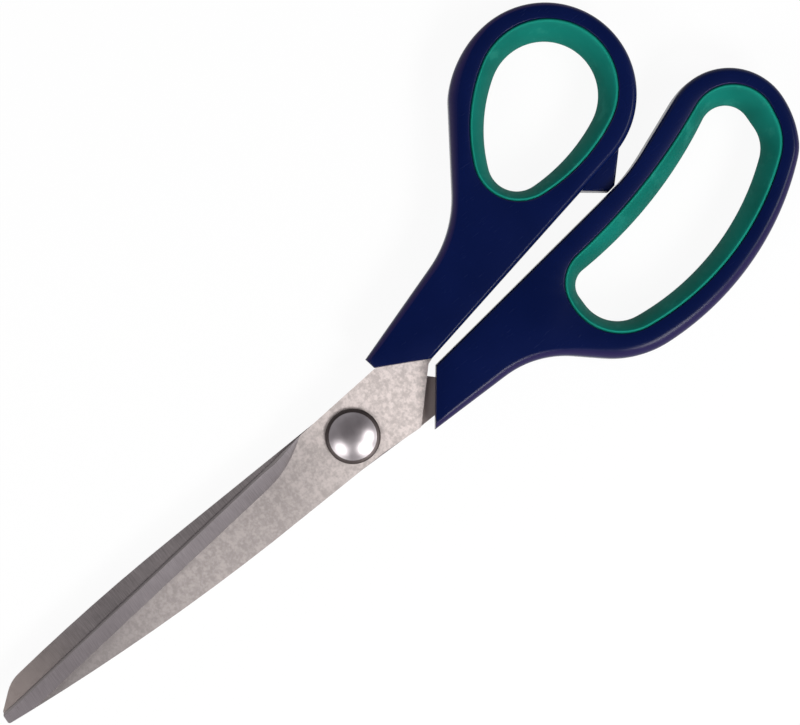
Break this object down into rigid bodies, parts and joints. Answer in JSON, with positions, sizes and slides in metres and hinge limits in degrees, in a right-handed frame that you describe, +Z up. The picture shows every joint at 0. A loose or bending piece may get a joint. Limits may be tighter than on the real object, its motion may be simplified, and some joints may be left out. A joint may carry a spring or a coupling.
{
  "type": "office scissors",
  "caption": "Office scissors with pointed steel blades, a domed pivot rivet, moulded dark blue handles and teal soft-grip liners in the thumb and finger bows.",
  "frame": {"origin": "bottom centre of the box round the closed scissors, in the plane that the handles' undersides rest on", "axes": "+Y runs from the finger bows to the blade tips, +X towards the thumb bow, +Z up from the underside"},
  "size_m": [0.0782, 0.2146, 0.012],
  "materials": {
    "blade_steel": "satin ground stainless steel",
    "rivet_steel": "polished steel",
    "handle_plastic": "semi-gloss dark navy moulded plastic",
    "grip_rubber": "satin teal soft-touch elastomer"
  },
  "bodies": {
    "finger_half": {"rear_blade": "blade_steel", "pivot_rivet": "rivet_steel", "tail_washer": "rivet_steel", "finger_handle": "handle_plastic", "finger_grip": "grip_rubber"},
    "thumb_half": {"front_blade": "blade_steel", "thumb_handle": "handle_plastic", "thumb_grip": "grip_rubber"}
  },
  "joints": [
    {"name": "blade_pivot", "type": "hinge", "parent": "finger_half", "child": "thumb_half", "pos_m": [-0.0118, 0.01047, 0.006], "axis": [0, 0, 1], "range_deg": [0, 110]}
  ]
}
